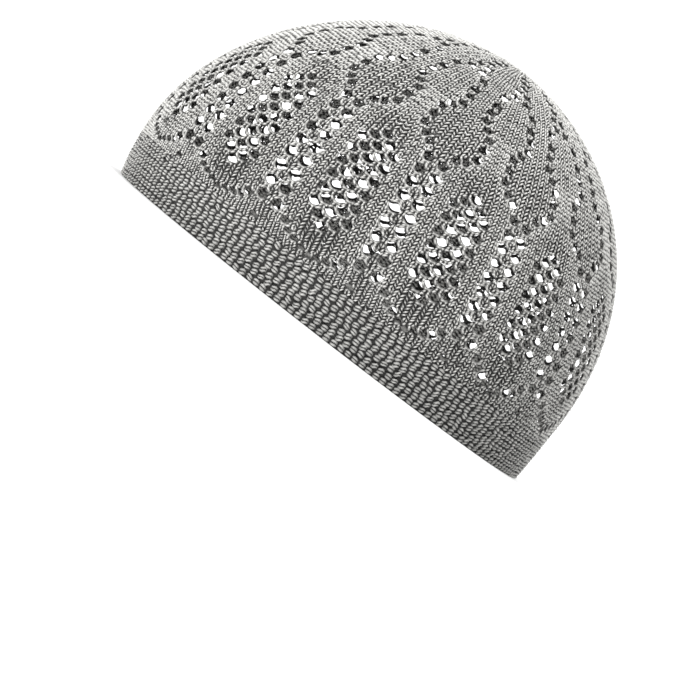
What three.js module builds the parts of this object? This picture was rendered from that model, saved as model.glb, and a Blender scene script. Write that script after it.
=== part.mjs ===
// Knitted openwork skullcap (kufi): a pierced crown on a ridged band, resting on its rim.
// Millimetres, +Z up. The front of the cap is towards -X, and Z = 0 is the surface it rests on.

import * as THREE from 'three';

// Outside sizes of the whole cap
const LENGTH = 207; // front to back at the waist
const BREADTH = 165; // side to side at the waist
const HEIGHT = 131.5; // rim to the top of the crown
const WAIST_HEIGHT = 28.5; // height at which the cap is widest
const RIM_TUCK = 0.025; // share of the width by which the rim is drawn in from the waist
const CROWN_POWER = 1.94; // 2 makes the crown a half ellipse, less draws its top in
const CROWN_LEAN = 4.4; // how far the top lies behind the middle of the waist
const RIM_LEAN = 1.7; // how far the rim lies behind the middle of the waist
const FRONT_NARROWING = 0.04; // share by which the front is narrower than a plain oval

// Crown
const CROWN_WALL = 2; // two yarns thick
const SEAM_GAP = 0.3; // clearance between the crown's edge and the band's top

// Band
const BAND_HEIGHT = 18.9;
const BAND_WALL = 3;
const BAND_RIDGES = 7;
const RIDGE_DEPTH = 0.8; // how deep the grooves between the ridges are
const RIDGE_FLANK = 0.3; // share of a ridge's height taken by each of its slopes
const EDGE_ROUNDING = 0.6; // how far the band's flat sole stays in from each of its faces

// Lace: each repeat has two columns of eyelets, and every second eyelet of each is cut through
const REPEATS = 13;
const FIRST_PAIR_ANGLE = 8.6; // degrees from the front to the foot of the first pair of columns
const COLUMN_SPREAD = 4.5; // degrees between the two columns of a pair
const COLUMN_SLANT = 3.6; // degrees by which the columns lean towards the front over the lace
const LACE_ROWS = 9;
const LACE_FOOT = 0.072; // share of the crown's rise where the lowest row begins
const LACE_HEAD = 0.429; // share of the crown's rise where the highest row ends
const EYELET_DIAMETER = 3.4;
const EYELET_SIDES = 6;

// Towards the front the cap is stretched, so there the lace hangs lower and its columns lean more
const FRONT_DROP = 0.023; // share of the crown's rise by which the lace's foot hangs lower
const FRONT_SLANT = 3.5; // degrees by which the columns lean more over the lace
const DROP_END = 0.55; // share of the crown's rise above which nothing hangs lower
const FRONT_EDGE = 60; // degrees from the front up to which this holds in full
const FRONT_END = 140; // degrees from the front at which none of it is left

// Facets
const PLAIN_COLUMNS = 3; // between one pair of eyelet columns and the next
const PLAIN_ROWS = 7; // from the lace to the top of the crown
const BAND_FACETS = 5 * REPEATS;
const PROFILE_STEPS = 400;
const NUDGE = 1e-3; // step for finding the direction of the skin

const QUARTER_TURN = Math.PI / 2;
const FULL_TURN = 2 * Math.PI;
const radians = THREE.MathUtils.degToRad;

// One point of the outline, by its level: 0 at the rim, 1 at the waist, 2 at the top
function outlineAt(level) {
  if (level < 1) {
    const below = (1 - level) ** 2;
    return { share: 1 - RIM_TUCK * below, height: WAIST_HEIGHT * level, lean: RIM_LEAN * below };
  }
  const angle = (level - 1) * QUARTER_TURN;
  const rise = Math.sin(angle) ** (2 / CROWN_POWER);
  return {
    share: Math.cos(angle) ** (2 / CROWN_POWER),
    height: WAIST_HEIGHT + (HEIGHT - WAIST_HEIGHT) * rise,
    lean: CROWN_LEAN * THREE.MathUtils.smoothstep(rise, 0, 1),
  };
}

// The level at which the outline reaches a height
function levelAtHeight(height) {
  if (height <= WAIST_HEIGHT) {
    return height / WAIST_HEIGHT;
  }
  const rise = (height - WAIST_HEIGHT) / (HEIGHT - WAIST_HEIGHT);
  return 1 + Math.asin(rise ** (CROWN_POWER / 2)) / QUARTER_TURN;
}

// A point on the outer face, by its angle from the front in radians and its level
function skinPoint(turn, level) {
  const { share, height, lean } = outlineAt(level);
  const narrowing = 1 - FRONT_NARROWING * Math.cos(turn);
  const x = lean - (LENGTH / 2) * share * Math.cos(turn);
  const y = -(BREADTH / 2) * share * narrowing * Math.sin(turn);
  return new THREE.Vector3(x, y, height);
}

// The outward direction of the outer face at a point below the top
function skinNormal(turn, level) {
  const around = skinPoint(turn + NUDGE, level).sub(skinPoint(turn - NUDGE, level));
  const upper = Math.min(level + NUDGE, 2 - NUDGE / 10);
  const lower = Math.max(level - NUDGE, 0);
  const upward = skinPoint(turn, upper).sub(skinPoint(turn, lower));
  return around.cross(upward).normalize();
}

// A point under the outer face, measured square to it
function wallPoint(turn, level, depth) {
  return skinPoint(turn, level).addScaledVector(skinNormal(turn, level), -depth);
}

// A point of the band, measured level inwards so that its sole and top stay flat
function bandPoint(turn, height, depth) {
  const level = levelAtHeight(height);
  const outward = skinNormal(turn, level).setZ(0).normalize();
  return skinPoint(turn, level).addScaledVector(outward, -depth);
}

// Levels at shares of the way along the outline, from a first level to the top
function levelsAtShares(firstLevel, shares) {
  const meanRadius = Math.sqrt(LENGTH * BREADTH) / 2;
  const levels = [firstLevel];
  const lengths = [0];
  let last = outlineAt(firstLevel);
  for (let step = 1; step <= PROFILE_STEPS; step += 1) {
    const level = firstLevel + ((2 - firstLevel) * step) / PROFILE_STEPS;
    const next = outlineAt(level);
    const stride = Math.hypot(meanRadius * (next.share - last.share), next.height - last.height);
    levels.push(level);
    lengths.push(lengths[step - 1] + stride);
    last = next;
  }
  return shares.map((share) => {
    const target = share * lengths[PROFILE_STEPS];
    const step = Math.max(1, lengths.findIndex((length) => length >= target));
    const part = (target - lengths[step - 1]) / (lengths[step] - lengths[step - 1]);
    return levels[step - 1] + part * (levels[step] - levels[step - 1]);
  });
}

// A growing mesh: corner points and the triangles between them
class Surface {
  constructor() {
    this.points = [];
    this.faces = [];
  }

  add(point) {
    return this.points.push(point) - 1;
  }

  triangle(a, b, c) {
    this.faces.push(a, b, c);
  }

  quad(a, b, c, d) {
    this.triangle(a, b, c);
    this.triangle(a, c, d);
  }

  geometry() {
    const geometry = new THREE.BufferGeometry();
    const positions = this.points.flatMap((point) => [point.x, point.y, point.z]);
    geometry.setAttribute('position', new THREE.Float32BufferAttribute(positions, 3));
    geometry.setIndex(this.faces);
    geometry.computeVertexNormals();
    return geometry;
  }
}

// The shares of the crown's rise at which its rows of facets meet, without the top
function rowShares() {
  const shares = [0];
  for (let row = 0; row <= LACE_ROWS; row += 1) {
    shares.push(THREE.MathUtils.lerp(LACE_FOOT, LACE_HEAD, row / LACE_ROWS));
  }
  for (let row = 1; row < PLAIN_ROWS; row += 1) {
    shares.push(THREE.MathUtils.lerp(LACE_HEAD, 1, row / PLAIN_ROWS));
  }
  return shares;
}

// The angles in degrees at which the crown's columns of facets meet at its foot
function columnAngles() {
  const angles = [];
  const plainWidth = (360 / REPEATS - 2 * COLUMN_SPREAD) / PLAIN_COLUMNS;
  for (let repeat = 0; repeat < REPEATS; repeat += 1) {
    const middle = FIRST_PAIR_ANGLE + (360 * repeat) / REPEATS;
    angles.push(middle - COLUMN_SPREAD, middle);
    for (let column = 0; column < PLAIN_COLUMNS; column += 1) {
      angles.push(middle + COLUMN_SPREAD + column * plainWidth);
    }
  }
  return angles;
}

// How much a place of the crown belongs to its stretched front, from 1 there to 0 at the back
function frontness(angle) {
  const fromFront = Math.acos(Math.cos(radians(angle)));
  return 1 - THREE.MathUtils.smoothstep(fromFront, radians(FRONT_EDGE), radians(FRONT_END));
}

// The share of the crown's rise at which a place of the even lace hangs
function hangingShare(angle, share) {
  const rising = share / LACE_FOOT;
  const falling = (DROP_END - share) / (DROP_END - LACE_FOOT);
  const part = THREE.MathUtils.clamp(Math.min(rising, falling), 0, 1);
  return share - FRONT_DROP * frontness(angle) * part;
}

// The angle in degrees at which a column of facets stands at a share of the crown's rise
function slantedAngle(angle, share) {
  const even = angle - (COLUMN_SLANT * share) / LACE_HEAD;
  return even + FRONT_SLANT * frontness(even) * Math.max(0, 1 - share / LACE_HEAD);
}

// Whether the cell of facets at a row and column holds an eyelet
function hasEyelet(row, column) {
  const laceRow = row - 1;
  const columnOfPair = column % (PLAIN_COLUMNS + 2);
  return laceRow >= 0 && laceRow < LACE_ROWS && columnOfPair === laceRow % 2;
}

// The edge of an eyelet inside a cell, from the cell's corners in order round it
function eyeletEdge(surface, cell) {
  const [lowLeft, lowRight, highRight, highLeft] = cell.map((index) => surface.points[index]);
  const width = lowLeft.distanceTo(lowRight);
  const height = lowLeft.distanceTo(highLeft);
  const edge = [];
  for (let corner = 0; corner < EYELET_SIDES; corner += 1) {
    const angle = (corner / EYELET_SIDES) * FULL_TURN;
    const across = 0.5 + ((EYELET_DIAMETER / 2) * Math.cos(angle)) / width;
    const upward = 0.5 + ((EYELET_DIAMETER / 2) * Math.sin(angle)) / height;
    const low = lowLeft.clone().lerp(lowRight, across);
    const high = highLeft.clone().lerp(highRight, across);
    edge.push(surface.add(low.lerp(high, upward)));
  }
  return edge;
}

// The facets between the corners of a cell and the six corners of its eyelet
function cellAroundEyelet(surface, cell, edge) {
  const [lowLeft, lowRight, highRight, highLeft] = cell;
  const fans = [
    { corner: lowRight, edge: [4, 5, 0] },
    { corner: highRight, edge: [0, 1] },
    { corner: highLeft, edge: [1, 2, 3] },
    { corner: lowLeft, edge: [3, 4] },
  ];
  fans.forEach((fan, index) => {
    const last = edge[fan.edge[fan.edge.length - 1]];
    for (let step = 1; step < fan.edge.length; step += 1) {
      surface.triangle(fan.corner, edge[fan.edge[step]], edge[fan.edge[step - 1]]);
    }
    surface.triangle(fan.corner, fans[(index + 1) % fans.length].corner, last);
  });
}

// One face of the crown: its grid of points, top and eyelet edges, facing outwards or inwards
function crownFace(surface, firstLevel, shares, depth, facesOut) {
  const angles = columnAngles();
  const columns = angles.map((angle) => {
    const hanging = shares.map((share) => hangingShare(slantedAngle(angle, share), share));
    return levelsAtShares(firstLevel, hanging);
  });
  const grid = shares.map((share, row) => angles.map((angle, column) => {
    const turn = radians(slantedAngle(angle, share));
    return surface.add(wallPoint(turn, columns[column][row], depth));
  }));
  const top = surface.add(skinPoint(0, 2).setZ(HEIGHT - depth));
  const edges = [];
  const firstFace = surface.faces.length;
  for (let row = 0; row < shares.length; row += 1) {
    for (let column = 0; column < angles.length; column += 1) {
      const next = (column + 1) % angles.length;
      if (row === shares.length - 1) {
        surface.triangle(grid[row][column], grid[row][next], top);
        continue;
      }
      const cell = [grid[row][column], grid[row][next], grid[row + 1][next], grid[row + 1][column]];
      if (hasEyelet(row, column)) {
        const edge = eyeletEdge(surface, cell);
        cellAroundEyelet(surface, cell, edge);
        edges.push(edge);
      } else {
        surface.quad(...cell);
      }
    }
  }
  if (!facesOut) {
    surface.faces.push(...surface.faces.splice(firstFace).reverse());
  }
  return { foot: grid[0], edges };
}

// The crown: a pierced dome with an outer and an inner face, open at its foot
function crownGeometry() {
  const surface = new Surface();
  const shares = rowShares();
  const firstLevel = levelAtHeight(BAND_HEIGHT + SEAM_GAP);
  const outside = crownFace(surface, firstLevel, shares, 0, true);
  const inside = crownFace(surface, firstLevel, shares, CROWN_WALL, false);
  joinLoops(surface, inside.foot, outside.foot);
  outside.edges.forEach((edge, index) => joinLoops(surface, edge, inside.edges[index]));
  return surface.geometry();
}

// A strip of facets between two closed loops of points
function joinLoops(surface, loop, nextLoop) {
  for (let side = 0; side < loop.length; side += 1) {
    const across = (side + 1) % loop.length;
    surface.quad(loop[side], loop[across], nextLoop[across], nextLoop[side]);
  }
}

// The section of the band, as heights and depths, once round it from the inner foot
function bandSection() {
  const pitch = BAND_HEIGHT / BAND_RIDGES;
  const section = [
    { height: 0, depth: BAND_WALL - EDGE_ROUNDING },
    { height: 0, depth: RIDGE_DEPTH },
  ];
  for (let ridge = 0; ridge < BAND_RIDGES; ridge += 1) {
    const foot = ridge * pitch;
    section.push({ height: foot + pitch * RIDGE_FLANK, depth: 0 });
    section.push({ height: foot + pitch * (1 - RIDGE_FLANK), depth: 0 });
    section.push({ height: foot + pitch, depth: RIDGE_DEPTH });
  }
  section.push({ height: BAND_HEIGHT, depth: BAND_WALL - EDGE_ROUNDING });
  section.push({ height: BAND_HEIGHT - EDGE_ROUNDING, depth: BAND_WALL });
  section.push({ height: EDGE_ROUNDING, depth: BAND_WALL });
  return section;
}

// The band: its section carried once round the rim
function bandGeometry() {
  const surface = new Surface();
  const loops = bandSection().map(({ height, depth }) => (
    Array.from({ length: BAND_FACETS }, (_, side) => (
      surface.add(bandPoint((side / BAND_FACETS) * FULL_TURN, height, depth))
    ))
  ));
  loops.forEach((loop, index) => joinLoops(surface, loop, loops[(index + 1) % loops.length]));
  return surface.geometry();
}

function knittedPiece(name, geometry) {
  const yarn = new THREE.MeshStandardMaterial({ color: 0x8f8e8b, roughness: 0.85, metalness: 0 });
  const piece = new THREE.Mesh(geometry, yarn);
  piece.name = name;
  return piece;
}

const kufi = new THREE.Group();
kufi.add(knittedPiece('crown', crownGeometry()));
kufi.add(knittedPiece('band', bandGeometry()));

export default kufi;
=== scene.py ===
"""Knits an openwork kufi around its solid frame: every stitch is a loop of real yarn.

Metres, +Z up. The front of the cap is towards -X, and Z = 0 is the surface it rests on.
"""

import math
from typing import NamedTuple

import bpy
import numpy as np
from bpy.props import FloatProperty, FloatVectorProperty, IntProperty, PointerProperty
from mathutils import Matrix, Vector


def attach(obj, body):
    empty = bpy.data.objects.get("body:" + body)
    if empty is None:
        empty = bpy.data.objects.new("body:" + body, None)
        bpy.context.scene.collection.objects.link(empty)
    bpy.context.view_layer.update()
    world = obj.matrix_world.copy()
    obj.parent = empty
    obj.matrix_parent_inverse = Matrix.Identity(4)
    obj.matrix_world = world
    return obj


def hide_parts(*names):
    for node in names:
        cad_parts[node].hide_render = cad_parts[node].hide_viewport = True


bl_info = {
    "name": "Knitted Kufi",
    "version": (1, 0, 0),
    "blender": (4, 5, 0),
    "location": "View3D > Sidebar > Kufi",
    "description": "Knits the crown and the band of a kufi, loop by loop, around its frame",
    "category": "Add Mesh",
}

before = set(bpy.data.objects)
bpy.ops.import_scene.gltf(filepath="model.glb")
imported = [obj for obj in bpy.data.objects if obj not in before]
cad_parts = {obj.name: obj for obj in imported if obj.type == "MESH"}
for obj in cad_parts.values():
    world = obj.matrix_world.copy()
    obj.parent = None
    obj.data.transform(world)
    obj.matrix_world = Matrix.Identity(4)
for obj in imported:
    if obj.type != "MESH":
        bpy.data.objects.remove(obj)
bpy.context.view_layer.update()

# The cap's outside form, as in its solids
LENGTH = 0.207
BREADTH = 0.165
HEIGHT = 0.1315
WAIST_HEIGHT = 0.0285
RIM_TUCK = 0.025
CROWN_POWER = 1.94
CROWN_LEAN = 0.0044
RIM_LEAN = 0.0017
FRONT_NARROWING = 0.04
MEAN_RADIUS = math.sqrt(LENGTH * BREADTH) / 2
OUTLINE_POINTS = 4001

# Repeats of the lace round the cap, and how they lean towards the front
REPEATS = 13
REPEAT_ANGLE = 360 / REPEATS
FIRST_PAIR_ANGLE = 8.6
LEAN_PER_METRE = 55.0

# Towards the front the cap is stretched, so there the lace hangs lower and its columns lean more
FRONT_DROP = 0.023
FRONT_SLANT = math.radians(3.5)
LACE_FOOT = 0.072
LACE_HEAD = 0.429
DROP_END = 0.55
FRONT_EDGE = math.radians(60)
FRONT_END = math.radians(140)

# Rows of the band, and courses of the crown
BAND_RIDGES = 7
BAND_HEIGHT = 0.0189
BAND_PITCH = BAND_HEIGHT / BAND_RIDGES
LACE_COURSES = 42
LACE_PITCH = 0.00156
UPPER_PITCH = 0.0019
WALES = 14

# Degrees from one wale to the next, from the middle of a pair to the middle of a mesh
EVEN_STEPS = (REPEAT_ANGLE / WALES,) * 7
LACE_STEPS = (2.25, 1.71, 1.71, 1.71, 1.71, 2.37, 2.37)
TULIP_STEPS = (2.3, 2.3, 2.3, 2.3, 1.55, 1.55, 1.55)

# Courses in which one spacing of the wales passes into the next
SPACING_COURSES = 6

# Courses at which the number of wales in a repeat falls, on the way to the top
DECREASES = ((56, 12), (62, 10), (69, 8), (74, 6), (79, 4), (85, 2), (90, 1))

# Eyelets of a pair: degrees from its middle, and courses
PAIR_OFFSET = 2.25
PAIR_COURSES = range(41, 8, -4)

# Eyelets of a mesh and of the chevron under it: degrees from the mesh's middle, and courses
MESH_COURSES = (
    (0.0, range(39, 10, -4)),
    (2.37, range(37, 12, -4)),
    (4.74, range(35, 14, -4)),
)
CHEVRON = ((8.2, 7), (6.45, 5), (4.74, 4))
CHEVRON_FOOT = ((2.37, 3), (0.0, 2))

# One more small eyelet under each pair: degrees from the pair's middle, and course
FOOT_DOT = (-2.0, 2)

# Outline of one tulip, as half its width in degrees and a distance above the lace
TULIP_OUTLINE = (
    (4.7, 0.0040),
    (6.8, 0.0073),
    (9.0, 0.0101),
    (9.25, 0.0158),
    (9.4, 0.0210),
    (7.4, 0.0255),
    (5.3, 0.0299),
    (5.25, 0.0356),
    (5.6, 0.0416),
    (6.4, 0.0477),
    (9.75, 0.0537),
    (11.9, 0.0598),
    (13.846, 0.0659),
)
TIP_DOTS = (0.0715, 0.0765)

# Two eyelets that are closer than this to where they meet, in degrees, are one
SAME_PLACE = 0.01
EYELET_SIZES = ("pair", "mesh", "dot", "small")

# Points along one stitch, and sides of the yarn
STITCH_POINTS = 8
BAND_POINTS = 5
BAND_BACK_POINTS = 3
YARN_SIDES = 4

# Courses in one object. One that would start with fewer stitches than this takes all the rest
COURSES_A_PIECE = 14
FEW_STITCHES = 100

# How far the last course stays from the top, and how close to it any yarn may come
LAST_COURSE_GAP = 0.0035
TOP_GAP = 0.0004

# How far a stitch's head and feet reach from its middle, as a share of the pitch
STITCH_REACH = 0.74

# Unevenness of the crown's stitches, as shares of the swing, reach and depth that they have
UNEVEN_SWING = 0.12
UNEVEN_REACH = 0.06
UNEVEN_DEPTH = 0.2

# Unevenness as a share of a stitch's width, and as shares of the pitch
UNEVEN_PLACE = 0.02
UNEVEN_HEIGHT = 0.06
UNEVEN_TILT = 0.05

# How far forward the yarn of a dropped stitch lies, from -1 to 1, which also sets its painted shade
FLOAT_FRONT = -0.4

# How an eyelet opens: how far it pushes the yarn, and how wide its rim is
PUSH_REACH = 0.0030
NEAR_EYELET = 0.0062
RIM_WIDTH = 0.0006
RIM_BLEND = 0.75
RIM_WIDENING = 0.3
RIM_SMOOTHING = 0.7
SETTLING_ROUNDS = 3
LEAST_DISTANCE = 1e-5

# Unevenness of the eyelets, as an angle in radians and a height
EYELET_SWAY = 0.0012
EYELET_LIFT = 0.0001

# Heads of the band: how steeply and where a head dips to the neck between it and the next
HEAD_STEEPNESS = 2.2
HEAD_BREADTH = 0.65

# How deep a head's strands lie and how far from its middle, as shares of their half thickness
HEAD_DEPTH = 1.1
STRAND_SPREAD = 1.15

# Halfway to a neck, the strands are deeper, thinner, closer and lower by these shares
NECK_DEPTH = 0.55
NECK_THINNING = 0.28
NECK_CLOSING = 0.25
NECK_SAG = 0.04

# Share of a stitch by which every second row of the band is shifted
STAGGER = 0.2

# Unevenness of the heads, as shares of their width, row height, thickness and tilt
UNEVEN_HEAD_PLACE = 0.04
UNEVEN_HEAD_HEIGHT = 0.04
UNEVEN_HEAD_SIZE = 0.08
UNEVEN_HEAD_TILT = 0.9

# Rows behind the heads: where they start, as a share of the band yarn's thickness
BACK_START = 0.85

# How far they lie from the inner face, how wide they are, and how much both waver
BACK_DEPTH = 1.3
BACK_DEPTH_WAVE = 0.3
BACK_WIDTH = 1.6
BACK_WIDTH_WAVE = 0.4

# Rings of yarn that close the top: radius, and how much lower than the first one
CLOSING_RINGS = ((0.0021, 0.0), (0.0009, 0.0003))
CLOSING_POINTS = 24
CLOSING_WAVES = 6
CLOSING_WAVE = 0.00012
CLOSING_DEPTH = 1.2
# How much painted light the rings get, from -1 to 1
CLOSING_PAINTED_LIGHT = 0.7

# Painted light on the sides of yarn in front, as a share of its outer side's
SIDE_PAINTED_LIGHT = 0.45

# Free edge of each strand's lane on the material's map
MAP_MARGIN = 0.02

# Soft lights: name, place, the point that they face, size and power
LIGHTS = (
    ("key", (-1.2, -1.0, 0.7), (0.0, 0.0, 0.05), 0.8, 30.0),
    ("fill", (0.9, -1.3, 0.9), (0.0, 0.0, 0.05), 1.2, 6.0),
    ("overhead", (0.4, -0.1, 1.8), (0.0, 0.0, 0.1), 1.2, 21.0),
    ("backdrop", (0.0, 1.0, 2.4), (0.0, 2.5, 0.7), 1.6, 70.0),
)
WORLD_STRENGTH = 0.3

# The paper under and behind the cap: its front edge, a line behind the cap, its bend and top
PAPER_FRONT = -2.2
PAPER_MIDDLE = 0.42
PAPER_BEND = 1.4
BEND_RADIUS = 1.2
BEND_STEPS = 16
PAPER_TOP = 3.2
PAPER_HALF_WIDTH = 3.0
PAPER_SHADE = 0.985

# The point that the camera faces, and the nearest and farthest that it sees
CAMERA_AIM = (0.0179, 0.0, 0.0)
CAMERA_RANGE = (0.05, 20.0)
SENSOR_WIDTH = 36.0


def outline_at(level):
    """Share of the full width, height and lean of the outline, from 0 at the rim to 2 at the top."""
    below = np.clip(1 - level, 0, 1) ** 2
    angle = np.clip(level - 1, 0, 1) * math.pi / 2
    rise = np.sin(angle) ** (2 / CROWN_POWER)
    low = level < 1
    share = np.where(low, 1 - RIM_TUCK * below, np.cos(angle) ** (2 / CROWN_POWER))
    height = np.where(low, WAIST_HEIGHT * level, WAIST_HEIGHT + (HEIGHT - WAIST_HEIGHT) * rise)
    lean = np.where(low, RIM_LEAN * below, CROWN_LEAN * rise * rise * (3 - 2 * rise))
    return share, height, lean


LEVELS = np.linspace(0, 2, OUTLINE_POINTS)
SHARES, HEIGHTS, _ = outline_at(LEVELS)
STEPS = np.hypot(np.diff(HEIGHTS), MEAN_RADIUS * np.diff(SHARES))
ARCS = np.concatenate(([0.0], np.cumsum(STEPS)))
FULL_ARC = float(ARCS[-1])
CROWN_FOOT = float(np.interp(BAND_HEIGHT, HEIGHTS, ARCS))
LACE_TOP = CROWN_FOOT + LACE_COURSES * LACE_PITCH


def skin_point(turn, level):
    """Points on the outer face, by their angle from the front and their level."""
    share, height, lean = outline_at(level)
    narrowing = 1 - FRONT_NARROWING * np.cos(turn)
    x = lean - LENGTH / 2 * share * np.cos(turn)
    y = -BREADTH / 2 * share * narrowing * np.sin(turn)
    return np.stack([x, y, np.broadcast_to(height, x.shape)], -1)


def unit(vectors):
    """Vectors of length 1 in the same directions. One without a length stays as it is."""
    least = 1e-12
    return vectors / np.maximum(np.linalg.norm(vectors, axis=-1, keepdims=True), least)


def skin_normal(turn, level):
    """Outward directions of the outer face."""
    nudge = 1e-3
    around = skin_point(turn + nudge, level) - skin_point(turn - nudge, level)
    upper = np.minimum(level + nudge, 2 - nudge / 10)
    lower = np.maximum(level - nudge, 0)
    upward = skin_point(turn, upper) - skin_point(turn, lower)
    return unit(np.cross(around, upward))


def wall_point(turn, arc, depth):
    """Points under the outer face and the outward directions there."""
    level = np.interp(arc, ARCS, LEVELS)
    normal = skin_normal(turn, level)
    return skin_point(turn, level) - normal * depth[..., None], normal


def width_per_radian(turn, arc):
    """How wide one radian round the cap is at a place on its skin."""
    share = np.interp(arc, ARCS, SHARES)
    return share * np.hypot(LENGTH / 2 * np.sin(turn), BREADTH / 2 * np.cos(turn))


def hung(turn, arc):
    """Where a place of the even chart lies on the cap: lower, and leaning more, at the front."""
    rise = (arc - CROWN_FOOT) / (FULL_ARC - CROWN_FOOT)
    part = np.clip((np.arccos(np.cos(turn)) - FRONT_EDGE) / (FRONT_END - FRONT_EDGE), 0, 1)
    front = 1 - part * part * (3 - 2 * part)
    falling = (DROP_END - rise) / (DROP_END - LACE_FOOT)
    drop = FRONT_DROP * front * np.clip(np.minimum(rise / LACE_FOOT, falling), 0, 1)
    slant = FRONT_SLANT * front * np.clip(1 - rise / LACE_HEAD, 0, 1)
    return turn + slant, arc - drop * (FULL_ARC - CROWN_FOOT)


def turn_between(first, second):
    """The angle from the second place to the first, the short way round."""
    return (first - second + math.pi) % (2 * math.pi) - math.pi


def mirrored(steps):
    """Wale angles of a repeat from its pair's middle, out of the steps of half of it."""
    half = np.concatenate(([0.0], np.cumsum(steps)))
    half *= REPEAT_ANGLE / 2 / half[-1]
    return np.concatenate((half, REPEAT_ANGLE - half[-2:0:-1]))


def blend(first, second, part):
    """The first at part 0, the second at part 1, and a mix between them."""
    part = min(max(part, 0.0), 1.0)
    return first * (1 - part) + second * part


def wales_of(course):
    """Wale angles in degrees of one repeat in a course of the crown."""
    even, lace, tulip = mirrored(EVEN_STEPS), mirrored(LACE_STEPS), mirrored(TULIP_STEPS)
    count = WALES
    for start, wales in DECREASES:
        if course >= start:
            count = wales
    if count < WALES:
        return np.arange(count) * REPEAT_ANGLE / count
    if course < LACE_COURSES:
        return blend(even, lace, course / SPACING_COURSES)
    return blend(lace, tulip, (course - LACE_COURSES) / SPACING_COURSES)


def arc_of(course):
    """Distance along the skin from the rim to the middle of a course of the crown."""
    if course < LACE_COURSES:
        return CROWN_FOOT + (course + 0.5) * LACE_PITCH
    return LACE_TOP + (course + 0.5 - LACE_COURSES) * UPPER_PITCH


def lean_of(arc):
    """Degrees by which the lace has turned towards the front, at a distance from the rim."""
    return LEAN_PER_METRE * (arc - CROWN_FOOT)


def sides_of(offset):
    """Both sides of a middle, or one where the two fall together."""
    return (-1, 1) if 0 < offset < REPEAT_ANGLE / 2 - SAME_PLACE else (1,)


def eyelets():
    """Every eyelet of the cap: its angle in radians, its arc and its size class."""
    half = REPEAT_ANGLE / 2
    places = []
    for course in PAIR_COURSES:
        places.append((0.0, PAIR_OFFSET, arc_of(course), "pair"))
    for offset, courses in MESH_COURSES:
        for course in courses:
            places.append((half, offset, arc_of(course), "mesh"))
    for rows, size in ((CHEVRON, "dot"), (CHEVRON_FOOT, "small")):
        for offset, course in rows:
            places.append((half, offset, arc_of(course), size))
    places.append((FOOT_DOT[0], 0.0, arc_of(FOOT_DOT[1]), "small"))
    for offset, above in TULIP_OUTLINE:
        places.append((0.0, offset, LACE_TOP + above, "dot"))
    for above in TIP_DOTS:
        places.append((half, 0.0, LACE_TOP + above, "dot"))
    found = []
    for repeat in range(REPEATS):
        start = FIRST_PAIR_ANGLE + repeat * REPEAT_ANGLE
        for middle, offset, arc, size in places:
            for side in sides_of(offset):
                degrees = start + middle + side * offset - lean_of(arc)
                found.append((math.radians(degrees), arc, size))
    return found


class Course:
    """One round of stitches: its points along the yarn, by angle, arc and depth."""

    def __init__(self, centres, arc, pitch, chance, count):
        turns = np.sort(np.radians(centres) % (2 * math.pi))
        self.centres = turns
        self.arc = arc
        self.pitch = pitch
        after = np.roll(turns, -1).copy()
        after[-1] += 2 * math.pi
        right = (turns + after) / 2
        left = np.roll(right, 1).copy()
        left[0] -= 2 * math.pi
        phase = (np.arange(count) / count * 2 - 1) * math.pi
        self.phase = phase
        # the foot point belongs to two stitches, so nothing moves it
        self.free = 1 - np.isclose(np.abs(phase), math.pi)
        part = phase / math.pi
        span = np.where(part < 0, (turns - left)[:, None], (right - turns)[:, None])
        self.width = (right - left)[:, None]
        self.line = turns[:, None] + span * part
        self.jitter = chance.normal(0, 1, (len(turns), 6))


def knit_shape(course, settings):
    """Gives a course the V shape of a plain stitch: legs in front, head and feet behind."""
    phase, jitter, free = course.phase, course.jitter, course.free
    swing = settings.leg_slant * (1 + UNEVEN_SWING * jitter[:, :1])
    sway = UNEVEN_PLACE * jitter[:, 4:5] * free
    course.turn = course.line + course.width * (swing * np.sin(2 * phase) + sway)
    tall = STITCH_REACH * (1 + UNEVEN_REACH * jitter[:, 1:2] * free)
    lift = UNEVEN_HEIGHT * jitter[:, 2:3] * free
    tilt = UNEVEN_TILT * jitter[:, 5:6] * np.sin(phase)
    course.rise = course.pitch * (tall * np.cos(phase) + lift + tilt)
    course.front = -np.cos(2 * phase) * (1 + UNEVEN_DEPTH * jitter[:, 3:4] * free)
    course.rim = np.zeros(course.front.shape)


def float_stitch(course, index):
    """A stitch dropped for an eyelet: its yarn runs straight along the eyelet's foot."""
    course.turn[index] = course.line[index]
    course.rise[index] = -course.pitch * STITCH_REACH
    course.front[index] = FLOAT_FRONT


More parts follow.
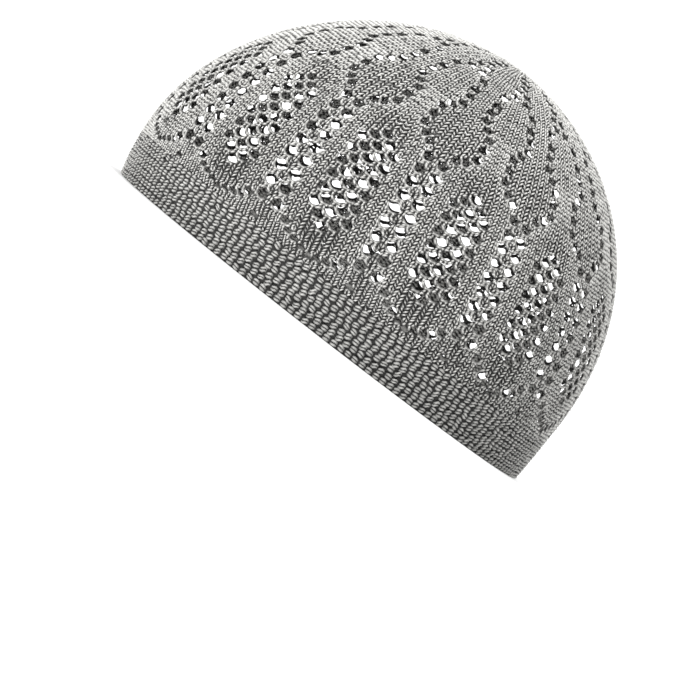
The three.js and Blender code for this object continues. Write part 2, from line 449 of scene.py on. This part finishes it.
class Eyelet:
    """One eyelet: its place, its radius to the middle of its rim, and the courses near it."""

    def __init__(self, turn, arc, radius, courses):
        self.turn = turn
        self.arc = arc
        self.radius = radius
        self.scale = width_per_radian(np.float64(turn), arc)
        self.near = []
        for course in courses:
            if abs(course.arc - arc) < NEAR_EYELET:
                gap = turn_between(course.centres, turn)
                stitches = np.nonzero(np.abs(gap) * self.scale < NEAR_EYELET)[0]
                self.near.append((course, stitches))

    def places(self, course, stitches):
        """How far some stitches' points lie across, above and away from the eyelet's middle."""
        across = turn_between(course.turn[stitches], self.turn) * self.scale
        upward = course.arc + course.rise[stitches] - self.arc
        return across, upward, np.maximum(np.hypot(across, upward), LEAST_DISTANCE)

    def push(self):
        """Adds the way by which the eyelet pushes the yarn around it outwards."""
        for course, stitches in self.near:
            across, upward, away = self.places(course, stitches)
            push = (np.hypot(away, self.radius) - away) * np.exp(-((away / PUSH_REACH) ** 2))
            course.move_turn[stitches] += across / away * push / self.scale
            course.move_rise[stitches] += upward / away * push

    def clear(self):
        """Moves what still lies inside the eyelet to its rim, and marks the yarn at the rim."""
        for course, stitches in self.near:
            across, upward, away = self.places(course, stitches)
            push = np.maximum(self.radius - away, 0)
            course.turn[stitches] += across / away * push / self.scale
            course.rise[stitches] += upward / away * push
            rim = np.exp(-(((away + push - self.radius) / RIM_WIDTH) ** 2))
            course.rim[stitches] = np.maximum(course.rim[stitches], rim)


def smooth_rims(course):
    """Draws the yarn smooth where it runs along the rim of an eyelet."""
    turn, rise, rim = course.turn.ravel(), course.rise.ravel(), course.rim.ravel()
    before, after = np.roll(turn, 1), np.roll(turn, -1)
    before[0] -= 2 * math.pi
    after[-1] += 2 * math.pi
    around = np.maximum(rim, np.maximum(np.roll(rim, 1), np.roll(rim, -1)))
    share = RIM_SMOOTHING * around
    turn = turn + share * ((before + after) / 2 - turn)
    rise = rise + share * ((np.roll(rise, 1) + np.roll(rise, -1)) / 2 - rise)
    course.turn, course.rise = turn.reshape(course.turn.shape), rise.reshape(course.rise.shape)


def open_eyelets(courses, places, settings):
    """Pushes the yarn out of each eyelet and lets it settle along the rims."""
    yarn = settings.yarn_thickness / 2
    radii = {size: getattr(settings, f"{size}_eyelet") / 2 + yarn for size in EYELET_SIZES}
    eyes = [Eyelet(turn, arc, radii[size], courses) for turn, arc, size in places]
    for course in courses:
        course.move_turn = np.zeros(course.turn.shape)
        course.move_rise = np.zeros(course.turn.shape)
    for eye in eyes:
        eye.push()
    for course in courses:
        course.turn = course.turn + course.move_turn
        course.rise = course.rise + course.move_rise
    for _ in range(SETTLING_ROUNDS):
        for eye in eyes:
            eye.clear()
        for course in courses:
            smooth_rims(course)
    for eye in eyes:
        eye.clear()


class Strand(NamedTuple):
    """One closed round of yarn, by its points and the outward directions there."""

    points: np.ndarray
    normals: np.ndarray
    # half the yarn's thickness, out of the wall and along the wall
    heights: np.ndarray
    widths: np.ndarray
    # how far forward the yarn lies, from -1 to 1, which sets how light or dark it is painted
    front: np.ndarray
    # the least painted light that any side of it has
    least: float = -1.0


def yarn_tube(strand):
    """Corners of a closed tube of yarn, their places on the yarn, and how much painted light each one
    gets.
    """
    points, normals = strand.points, strand.normals
    along = unit(np.roll(points, -1, 0) - np.roll(points, 1, 0))
    outward = unit(normals - (normals * along).sum(-1, keepdims=True) * along)
    across = np.cross(along, outward)
    angles = np.arange(YARN_SIDES) / YARN_SIDES * 2 * math.pi
    ring = outward[:, None] * np.cos(angles)[:, None] * strand.heights[:, None, None]
    ring = ring + across[:, None] * np.sin(angles)[:, None] * strand.widths[:, None, None]
    corners = points[:, None] + ring
    # length along the yarn in thicknesses, so that a thicker yarn has a longer twist
    steps = np.linalg.norm(np.roll(points, -1, 0) - points, axis=-1)
    length = np.concatenate(([0.0], np.cumsum(steps)[:-1])) / (2 * strand.heights.max())
    place = np.stack(np.broadcast_arrays(length[:, None], np.cos(angles), np.sin(angles)), -1)
    # painted light: the outer side of what lies in front and the inner side of what lies behind are
    # painted lighter, the other sides get painted shade
    painted_light = strand.front[:, None] * np.cos(angles)
    flank = SIDE_PAINTED_LIGHT * np.maximum(strand.front, 0)[:, None] * np.abs(np.sin(angles))
    painted_light = np.maximum(painted_light + flank, strand.least)
    return corners.reshape(-1, 3), place.reshape(-1, 3), painted_light.ravel()


def tube_faces(count, first):
    """Four-sided faces of a closed tube, and each corner's place along and round it, from 0 to 1."""
    row, side = np.meshgrid(np.arange(count), np.arange(YARN_SIDES), indexing="ij")
    rows = np.stack([row, row + 1, row + 1, row], -1).reshape(-1, 4)
    sides = np.stack([side, side, side + 1, side + 1], -1).reshape(-1, 4)
    faces = first + (rows % count) * YARN_SIDES + sides % YARN_SIDES
    return faces, rows / count, sides / YARN_SIDES


def knit_mesh(name, strands, material):
    """One object of several closed rounds of yarn."""
    corners, places, painted_lights, faces, maps = [], [], [], [], []
    first = 0
    for index, strand in enumerate(strands):
        tube, place, painted_light = yarn_tube(strand)
        quads, along, round_it = tube_faces(len(strand.points), first)
        corners.append(tube)
        places.append(place)
        painted_lights.append(painted_light)
        faces.append(quads)
        lane = index + MAP_MARGIN + round_it * (1 - 2 * MAP_MARGIN)
        maps.append(np.stack([along, lane / len(strands)], -1))
        first += len(tube)
    corners, faces = np.concatenate(corners), np.concatenate(faces)
    # no yarn lies below the surface that the cap rests on
    corners[:, 2] = np.maximum(corners[:, 2], 0.0)
    mesh = bpy.data.meshes.new(name)
    mesh.vertices.add(len(corners))
    mesh.vertices.foreach_set("co", corners.astype(np.float32).ravel())
    mesh.loops.add(faces.size)
    mesh.loops.foreach_set("vertex_index", faces.astype(np.int32).ravel())
    mesh.polygons.add(len(faces))
    mesh.polygons.foreach_set("loop_start", np.arange(0, faces.size, 4, dtype=np.int32))
    mesh.polygons.foreach_set("use_smooth", np.ones(len(faces), bool))
    layer = mesh.uv_layers.new(name="OFBake")
    layer.uv.foreach_set("vector", np.concatenate(maps).astype(np.float32).ravel())
    attribute = mesh.attributes.new("strand", "FLOAT_VECTOR", "POINT")
    attribute.data.foreach_set("vector", np.concatenate(places).astype(np.float32).ravel())
    # painted light and shade of each corner, which the yarn's material turns into lighter and darker
    # colour
    attribute = mesh.attributes.new("painted_light", "FLOAT", "POINT")
    attribute.data.foreach_set("value", np.concatenate(painted_lights).astype(np.float32))
    mesh.update(calc_edges=True)
    mesh.validate()
    mesh.materials.append(material)
    knitted = bpy.data.objects.new(name, mesh)
    bpy.context.scene.collection.objects.link(knitted)
    return knitted


def course_strand(course, settings):
    """The yarn of one course of the crown, which stands out a little at the rim of an eyelet."""
    rim = course.rim.ravel()
    front = course.front.ravel()
    # the yarn along a rim comes forward, and with that it is also painted lighter
    front = front + (settings.rim_lift - front) * rim * RIM_BLEND
    turn, arc = hung(course.turn.ravel(), course.arc + course.rise.ravel())
    arc = np.clip(arc, 0, FULL_ARC - TOP_GAP)
    depth = settings.wall_middle - settings.stitch_depth * front
    points, normals = wall_point(turn, arc, depth)
    behind = np.clip((1 - front) / 2, 0, 1) * (1 - rim)
    heights = np.full(len(front), settings.yarn_thickness / 2)
    spread = settings.leg_width + settings.back_widening * behind + RIM_WIDENING * rim
    # how far forward the yarn lies also sets its painted light and shade
    return Strand(points, normals, heights, heights * spread, np.clip(front, -1, 1))


def plain_courses(settings, chance):
    """All courses of the crown from the band to the top, without their eyelets."""
    courses = []
    index = 0
    while arc_of(index) < FULL_ARC - LAST_COURSE_GAP:
        arc = arc_of(index)
        starts = FIRST_PAIR_ANGLE + REPEAT_ANGLE * np.arange(REPEATS) - lean_of(arc)
        centres = (starts[:, None] + wales_of(index)[None, :]).ravel()
        pitch = LACE_PITCH if index < LACE_COURSES else UPPER_PITCH
        course = Course(centres, arc, pitch, chance, STITCH_POINTS)
        knit_shape(course, settings)
        courses.append(course)
        index += 1
    return courses


def crown_courses(settings):
    """All courses of the crown, with an eyelet in place of each stitch that is dropped."""
    chance = np.random.default_rng(settings.seed)
    courses = plain_courses(settings, chance)
    arcs = np.array([course.arc for course in courses])
    charted = eyelets()
    jitter = chance.normal(0, 1, (len(charted), 2))
    places = []
    for (turn, arc, size), (sway, lift) in zip(charted, jitter):
        course = courses[int(np.argmin(np.abs(arcs - arc)))]
        float_stitch(course, int(np.argmin(np.abs(turn_between(course.centres, turn)))))
        places.append((turn + sway * EYELET_SWAY, course.arc + lift * EYELET_LIFT, size))
    open_eyelets(courses, places, settings)
    return courses


def band_heads(ridge, centres, settings, chance):
    """The two strands of one row of long heads on the band's outside."""
    # the gaps between the heads stand nearly in line, and waver from row to row
    shifted = centres + STAGGER * REPEAT_ANGLE / WALES * (ridge % 2)
    made = Course(shifted, (ridge + 0.5) * BAND_PITCH, BAND_PITCH, chance, BAND_POINTS)
    jitter, free = made.jitter, made.free
    # a head takes nearly all of its stitch, and dips quickly between itself and the next
    head = np.tanh(HEAD_STEEPNESS * (np.cos(made.phase) + HEAD_BREADTH))
    front = np.broadcast_to(head, made.line.shape)
    turn = made.line + made.width * UNEVEN_HEAD_PLACE * jitter[:, :1] * free
    tilt = settings.head_tilt * (1 + UNEVEN_HEAD_TILT * jitter[:, 3:4]) * np.sin(made.phase)
    height = UNEVEN_HEAD_HEIGHT * jitter[:, 1:2] * free + tilt - NECK_SAG * (1 - front)
    half = settings.band_yarn / 2
    size = half * (1 - NECK_THINNING * (1 - front))
    size = size * (1 + UNEVEN_HEAD_SIZE * jitter[:, 2:3] * free)
    depth = half * (HEAD_DEPTH + NECK_DEPTH * (1 - front))
    spread = STRAND_SPREAD * size * (1 - NECK_CLOSING * (1 - front))
    # painted light on the heads, lightest on their outsides and with painted shade at the necks
    # between them
    painted_shading = settings.head_painted_light * front.ravel()
    strands = []
    for side in (-1, 1):
        arc = np.interp(made.arc + BAND_PITCH * height + side * spread, HEIGHTS, ARCS)
        points, normals = wall_point(turn.ravel(), arc.ravel(), depth.ravel())
        strands.append(Strand(points, normals, size.ravel(), size.ravel(), painted_shading))
    return strands


def band_back(height, thick, centres, settings, chance):
    """One flat row of yarn behind the heads, at a height and with half a thickness."""
    made = Course(centres, height, BAND_PITCH, chance, BAND_BACK_POINTS)
    turn = made.line.ravel()
    wave = np.tile(np.cos(made.phase), len(centres))
    arc = np.full(len(turn), np.interp(height, HEIGHTS, ARCS))
    depth = settings.band_thickness - thick * (BACK_DEPTH - BACK_DEPTH_WAVE * wave)
    points, normals = wall_point(turn, arc, depth)
    heights = np.full(len(turn), thick)
    widths = thick * (BACK_WIDTH - BACK_WIDTH_WAVE * wave)
    # the rows lie behind, so their outer sides get painted shade, down to the grooves' least painted
    # light
    behind = np.full(len(turn), -1.0)
    return Strand(points, normals, heights, widths, behind, settings.groove_painted_light)


def band_strands(settings):
    """Rows of long heads of doubled yarn on the band's outside, and rows behind their grooves."""
    chance = np.random.default_rng(settings.seed + 1)
    starts = FIRST_PAIR_ANGLE + REPEAT_ANGLE * np.arange(REPEATS)
    centres = (starts[:, None] + mirrored(EVEN_STEPS)[None, :]).ravel()
    strands = []
    for ridge in range(BAND_RIDGES):
        strands += band_heads(ridge, centres, settings, chance)
    thick = (settings.band_thickness - BACK_START * settings.band_yarn) / 2
    for height in np.linspace(thick, BAND_HEIGHT - thick, BAND_RIDGES + 1):
        strands.append(band_back(height, thick, centres, settings, chance))
    return strands


def closing_strands(settings):
    """The crown's last stitches drawn together: small rings of yarn around the top."""
    yarn = settings.yarn_thickness / 2
    turn = np.arange(CLOSING_POINTS) / CLOSING_POINTS * 2 * math.pi
    wave = CLOSING_WAVE * np.cos(CLOSING_WAVES * turn)
    normals = np.tile([0.0, 0.0, 1.0], (CLOSING_POINTS, 1))
    size = np.full(CLOSING_POINTS, yarn)
    front = np.full(CLOSING_POINTS, CLOSING_PAINTED_LIGHT)
    strands = []
    for radius, drop in CLOSING_RINGS:
        x = CROWN_LEAN - (radius + wave) * np.cos(turn)
        y = -(radius + wave) * np.sin(turn)
        z = HEIGHT - yarn * CLOSING_DEPTH - drop + wave
        strands.append(Strand(np.stack([x, y, z], -1), normals, size, size, front))
    return strands


class Material:
    """A material made of nodes, whose inputs are given as values or as the outputs they take."""

    def __init__(self, name):
        self.made = bpy.data.materials.new(name)
        self.made.use_nodes = True
        self.tree = self.made.node_tree

    def fill(self, node, inputs):
        """Sets the inputs of a node."""
        for key, value in inputs.items():
            if isinstance(value, bpy.types.NodeSocket):
                self.tree.links.new(value, node.inputs[key])
            else:
                node.inputs[key].default_value = value

    def add(self, kind, output, inputs, **choices):
        """Adds a node and gives one of its outputs."""
        node = self.tree.nodes.new("ShaderNode" + kind)
        for key, value in choices.items():
            setattr(node, key, value)
        self.fill(node, inputs)
        return node.outputs[output]

    def math(self, operation, *values, clamp=False):
        """Adds a step of arithmetic and gives its result."""
        inputs = dict(enumerate(values))
        return self.add("Math", 0, inputs, operation=operation, use_clamp=clamp)

    def mix(self, inputs, blend_type="MIX"):
        """Adds a mix of two colours and gives its result."""
        return self.add("Mix", "Result", inputs, data_type="RGBA", blend_type=blend_type)

    def noise(self, place, scale, detail):
        """Adds a noise and gives its strength."""
        return self.add("TexNoise", "Fac", {"Vector": place, "Scale": scale, "Detail": detail})

    def shade(self, inputs):
        """Sets the inputs of the material's surface."""
        self.fill(self.tree.nodes["Principled BSDF"], inputs)


def yarn_material(settings):
    """Matt grey cotton yarn, two plies twisted, with slightly uneven dye, and with painted shade in
    the grooves between the plies and on yarn hidden between the stitches.
    """
    yarn = Material("Kufi Yarn")
    place = yarn.add("TexCoord", "Object", {})
    dye = yarn.noise(place, 90.0, 4.0)
    fibres = yarn.noise(place, 2400.0, 3.0)

    # the plies turn with the length along the yarn and the angle round it
    strand = yarn.add("Attribute", "Vector", {}, attribute_name="strand")
    length = yarn.add("SeparateXYZ", "X", {"Vector": strand})
    cosine = yarn.add("SeparateXYZ", "Y", {"Vector": strand})
    sine = yarn.add("SeparateXYZ", "Z", {"Vector": strand})
    doubled = yarn.math("MULTIPLY", yarn.math("ARCTAN2", sine, cosine), 2.0)
    turned = yarn.math("MULTIPLY_ADD", length, 2 * math.pi / settings.twist_length, doubled)
    wave = yarn.math("SINE", turned)
    plies = yarn.add("MapRange", "Result", {"Value": wave, "From Min": -1.0})

    # fibres mottle the dye; the grooves between the plies get painted shade and their crowns a little
    # painted light, and yarn hidden between the stitches gets painted shade
    mottled = yarn.math("MULTIPLY_ADD", fibres, 1.6, -0.8)
    colours = {
        "Factor": yarn.math("ADD", dye, mottled, clamp=True),
        "A": (*settings.dark_colour, 1.0),
        "B": (*settings.light_colour, 1.0),
    }
    dyed = yarn.mix(colours)
    ply_range = {"Value": plies, "To Min": 0.72, "To Max": 1.06}
    ply_shade = yarn.add("MapRange", "Result", ply_range)
    groove_shaded = yarn.mix({"Factor": 0.6, "A": dyed, "B": ply_shade}, "MULTIPLY")
    # painted shade from each corner's painted light: hidden yarn is darkened down to the painted
    # hollow shade
    painted_light_range = {
        "Value": yarn.add("Attribute", "Fac", {}, attribute_name="painted_light"),
        "From Min": -0.05,
        "From Max": 0.8,
        "To Min": settings.painted_hollow_shade,
    }
    painted_shading = yarn.add("MapRange", "Result", painted_light_range, interpolation_type="SMOOTHSTEP")
    colour = yarn.mix({"Factor": 1.0, "A": groove_shaded, "B": painted_shading}, "MULTIPLY")

    relief = yarn.math("MULTIPLY_ADD", fibres, 0.35, plies)
    bumps = {"Strength": 0.6, "Distance": 0.00012, "Height": relief}
    surface = {
        "Base Color": colour,
        "Normal": yarn.add("Bump", "Normal", bumps),
        "Roughness": settings.roughness,
        "Sheen Weight": 0.1,
        "Sheen Roughness": 0.5,
        "Specular IOR Level": 0.15,
    }
    yarn.shade(surface)
    return yarn.made


def shared_yarn(settings):
    """The one material of both pieces, made when it is first asked for."""
    return bpy.data.materials.get("Kufi Yarn") or yarn_material(settings)


def length_setting(name, description, default):
    """A setting that is a length."""
    return FloatProperty(
        name=name, description=description, default=default, unit="LENGTH", precision=5
    )


def number_setting(name, description, default, **limits):
    """A setting that is a plain number."""
    return FloatProperty(name=name, description=description, default=default, **limits)


def angle_setting(name, description, degrees):
    """A setting that is an angle."""
    return FloatProperty(
        name=name, description=description, default=math.radians(degrees), subtype="ANGLE"
    )


def colour_setting(name, description, default):
    """A setting that is a colour."""
    return FloatVectorProperty(
        name=name, description=description, default=default, subtype="COLOR", size=3
    )


class KufiSettings(bpy.types.PropertyGroup):
    """Sizes and colours of the knitting, and its painted light and shade."""

    yarn_thickness: length_setting("Yarn thickness", "Thickness of the crown's yarn", 0.00094)
    band_yarn: length_setting(
        "Band yarn", "Thickness of each of the two strands in the band's heads", 0.00112
    )
    # painted light on the outside of the band's heads
    head_painted_light: number_setting(
        "Head openness",
        "How much light reaches the outside of the band's heads, from -1 to 1",
        0.6,
    )
    # the least painted light of the yarn in the band's grooves
    groove_painted_light: number_setting(
        "Groove openness",
        "How much light reaches the yarn in the band's grooves, from -1 to 1",
        -0.05,
    )
    head_tilt: number_setting(
        "Head tilt",
        "Share of a row's height by which a head of the band rises towards the back",
        0.08,
    )
    band_thickness: length_setting(
        "Band thickness", "From the band's outer face to its inner face", 0.003
    )
    stitch_depth: length_setting(
        "Stitch depth",
        "How far a stitch's legs stand in front of the middle of the wall",
        0.00045,
    )
    wall_middle: length_setting(
        "Wall middle", "Depth of the middle of the crown's wall under its outer face", 0.001
    )
    leg_slant: number_setting(
        "Leg slant", "Share of a stitch's width by which its legs swing in and out", 0.32
    )
    leg_width: number_setting("Leg width", "Width of a leg as a share of the yarn's thickness", 0.82)
    back_widening: number_setting(
        "Back widening",
        "Share of its thickness by which the yarn spreads behind the legs",
        1.1,
    )
    # the yarn along an eyelet comes forward, and so it also gets more painted light
    rim_lift: number_setting(
        "Rim lift", "How far the yarn along an eyelet comes forward, from -1 to 1", 0.65
    )
    pair_eyelet: length_setting("Pair eyelet", "Width of the eyelets in the column pairs", 0.0039)
    mesh_eyelet: length_setting("Mesh eyelet", "Width of the eyelets in the six-sided meshes", 0.0031)
    dot_eyelet: length_setting(
        "Dot eyelet", "Width of the eyelets that draw the tulips and chevrons", 0.0030
    )
    small_eyelet: length_setting(
        "Small eyelet", "Width of the small eyelets next to the band", 0.0019
    )
    twist_length: number_setting(
        "Twist length", "Length of yarn, in thicknesses, in which its plies turn once", 3.6
    )
    # painted shade of the yarn hidden between the stitches
    painted_hollow_shade: number_setting(
        "Hollow shade",
        "Share of the light that reaches the yarn hidden between the stitches",
        0.05,
        min=0.0,
        max=1.0,
    )
    roughness: number_setting("Roughness", "Roughness of the yarn", 0.8, min=0.0, max=1.0)
    light_colour: colour_setting(
        "Light colour", "Palest colour of the yarn's dye", (0.74, 0.735, 0.71)
    )
    dark_colour: colour_setting(
        "Dark colour", "Darkest colour of the yarn's dye", (0.53, 0.525, 0.505)
    )
    seed: IntProperty(
        name="Seed",
        description="Choice of the small unevenness of the stitches",
        default=7,
    )


class KufiStageSettings(bpy.types.PropertyGroup):
    """Camera and floor."""

    camera_distance: FloatProperty(
        name="Camera distance",
        description="From the camera to the cap",
        default=1.45,
        unit="LENGTH",
    )
    camera_elevation: angle_setting("Camera elevation", "Angle of the camera above the floor", 2.3)
    camera_roll: angle_setting("Camera roll", "Turn of the picture against the upright cap", 37.8)
    lens: number_setting("Lens", "Focal length in millimetres", 184.6)
    floor_colour: colour_setting(
        "Floor colour", "Colour of the floor and the backdrop", (0.9, 0.9, 0.9)
    )


class KUFI_OT_crown(bpy.types.Operator):
    """Knits the crown with its lace, tulips and gathered top"""

    bl_idname = "kufi.crown"
    bl_label = "Knit Crown"

    def execute(self, context):
        settings = context.scene.kufi
        courses = crown_courses(settings)
        material = shared_yarn(settings)
        strands = [course_strand(course, settings) for course in courses]
        pieces = []
        first = 0
        while first < len(strands):
            last = first + COURSES_A_PIECE
            if len(courses[first].centres) < FEW_STITCHES:
                last = len(strands)
            part = strands[first:last]
            if last >= len(strands):
                part = part + closing_strands(settings)
            pieces.append(knit_mesh(f"crown_knit_{len(pieces) + 1}", part, material))
            first = last
        for piece in pieces:
            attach(piece, "root")
            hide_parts("crown")
        return {"FINISHED"}


class KUFI_OT_band(bpy.types.Operator):
    """Knits the band's seven ridges"""

    bl_idname = "kufi.band"
    bl_label = "Knit Band"

    def execute(self, context):
        settings = context.scene.kufi
        piece = knit_mesh("band_knit", band_strands(settings), shared_yarn(settings))
        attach(piece, "root")
        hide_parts("band")
        return {"FINISHED"}


def floor_material(settings):
    """Matt pale paper with a faint unevenness."""
    paper = Material("Pale Paper")
    pale = tuple(settings.floor_colour)
    darker = tuple(PAPER_SHADE * part for part in pale)
    noise = paper.add("TexNoise", "Fac", {"Scale": 3.0})
    tint = paper.mix({"Factor": noise, "A": (*darker, 1.0), "B": (*pale, 1.0)})
    paper.shade({"Base Color": tint, "Roughness": 0.9, "Specular IOR Level": 0.1})
    return paper.made


def floor_and_backdrop(settings):
    """One sheet of paper: floor, a wide curve and a wall behind the cap."""
    profile = [(PAPER_FRONT, 0.0), (PAPER_MIDDLE, 0.0), (PAPER_BEND, 0.0)]
    for step in range(1, BEND_STEPS + 1):
        bend = step / BEND_STEPS * math.pi / 2
        y = PAPER_BEND + BEND_RADIUS * math.sin(bend)
        profile.append((y, BEND_RADIUS * (1 - math.cos(bend))))
    profile.append((PAPER_BEND + BEND_RADIUS, PAPER_TOP))
    vertices = [(side * PAPER_HALF_WIDTH, y, z) for y, z in profile for side in (-1, 1)]
    starts = range(0, 2 * len(profile) - 2, 2)
    faces = [(start, start + 1, start + 3, start + 2) for start in starts]
    mesh = bpy.data.meshes.new("floor")
    mesh.from_pydata(vertices, [], faces)
    mesh.polygons.foreach_set("use_smooth", [True] * len(faces))
    mesh.materials.append(floor_material(settings))
    floor = bpy.data.objects.new("floor", mesh)
    bpy.context.scene.collection.objects.link(floor)
    return floor


def soft_light(name, place, aim, size, power):
    """A square soft light that faces a point."""
    data = bpy.data.lights.new(name, "AREA")
    data.shape = "SQUARE"
    data.size = size
    data.energy = power
    light = bpy.data.objects.new(name, data)
    light.location = place
    direction = Vector(aim) - Vector(place)
    light.rotation_mode = "QUATERNION"
    light.rotation_quaternion = direction.to_track_quat("-Z", "Y")
    bpy.context.scene.collection.objects.link(light)


def white_world(scene):
    """Even white light from all around."""
    world = scene.world or bpy.data.worlds.new("Studio")
    scene.world = world
    world.use_nodes = True
    background = world.node_tree.nodes["Background"]
    background.inputs["Color"].default_value = (1.0, 1.0, 1.0, 1.0)
    background.inputs["Strength"].default_value = WORLD_STRENGTH


def photo_camera(scene, settings):
    """The camera at the photo's angle, rolled so that the cap tilts as it does there."""
    rise = settings.camera_elevation
    back = Vector((0.0, -math.cos(rise), math.sin(rise)))
    data = bpy.data.cameras.new("camera")
    data.sensor_width = SENSOR_WIDTH
    data.lens = settings.lens
    data.clip_start, data.clip_end = CAMERA_RANGE
    camera = bpy.data.objects.new("camera", data)
    place = Matrix.Translation(Vector(CAMERA_AIM) + back * settings.camera_distance)
    upright = back.to_track_quat("Z", "Y").to_matrix().to_4x4()
    roll = Matrix.Rotation(settings.camera_roll, 4, "Z")
    camera.matrix_world = place @ upright @ roll
    scene.collection.objects.link(camera)
    scene.camera = camera


class KUFI_OT_stage(bpy.types.Operator):
    """Sets the floor, backdrop, lights and camera"""

    bl_idname = "kufi.stage"
    bl_label = "Set Stage"

    def execute(self, context):
        settings = context.scene.kufi_stage
        floor_and_backdrop(settings)
        for light in LIGHTS:
            soft_light(*light)
        white_world(context.scene)
        context.scene.view_settings.view_transform = "Standard"
        photo_camera(context.scene, settings)
        return {"FINISHED"}


class KUFI_PT_panel(bpy.types.Panel):
    """Lists the steps that make the cap"""

    bl_label = "Knitted Kufi"
    bl_idname = "KUFI_PT_panel"
    bl_space_type = "VIEW_3D"
    bl_region_type = "UI"
    bl_category = "Kufi"

    def draw(self, context):
        layout = self.layout
        for operator in OPERATORS:
            layout.operator(operator.bl_idname)
        for group in (context.scene.kufi, context.scene.kufi_stage):
            column = layout.column()
            for name in group.__annotations__:
                column.prop(group, name)


OPERATORS = (KUFI_OT_crown, KUFI_OT_band, KUFI_OT_stage)
CLASSES = (KufiSettings, KufiStageSettings, *OPERATORS, KUFI_PT_panel)


def register():
    for made in CLASSES:
        bpy.utils.register_class(made)
    bpy.types.Scene.kufi = PointerProperty(type=KufiSettings)
    bpy.types.Scene.kufi_stage = PointerProperty(type=KufiStageSettings)


def unregister():
    del bpy.types.Scene.kufi_stage
    del bpy.types.Scene.kufi
    for made in reversed(CLASSES):
        bpy.utils.unregister_class(made)


def main():
    register()
    bpy.ops.kufi.crown()
    bpy.ops.kufi.band()
    bpy.ops.kufi.stage()


if __name__ == "__main__":
    main()
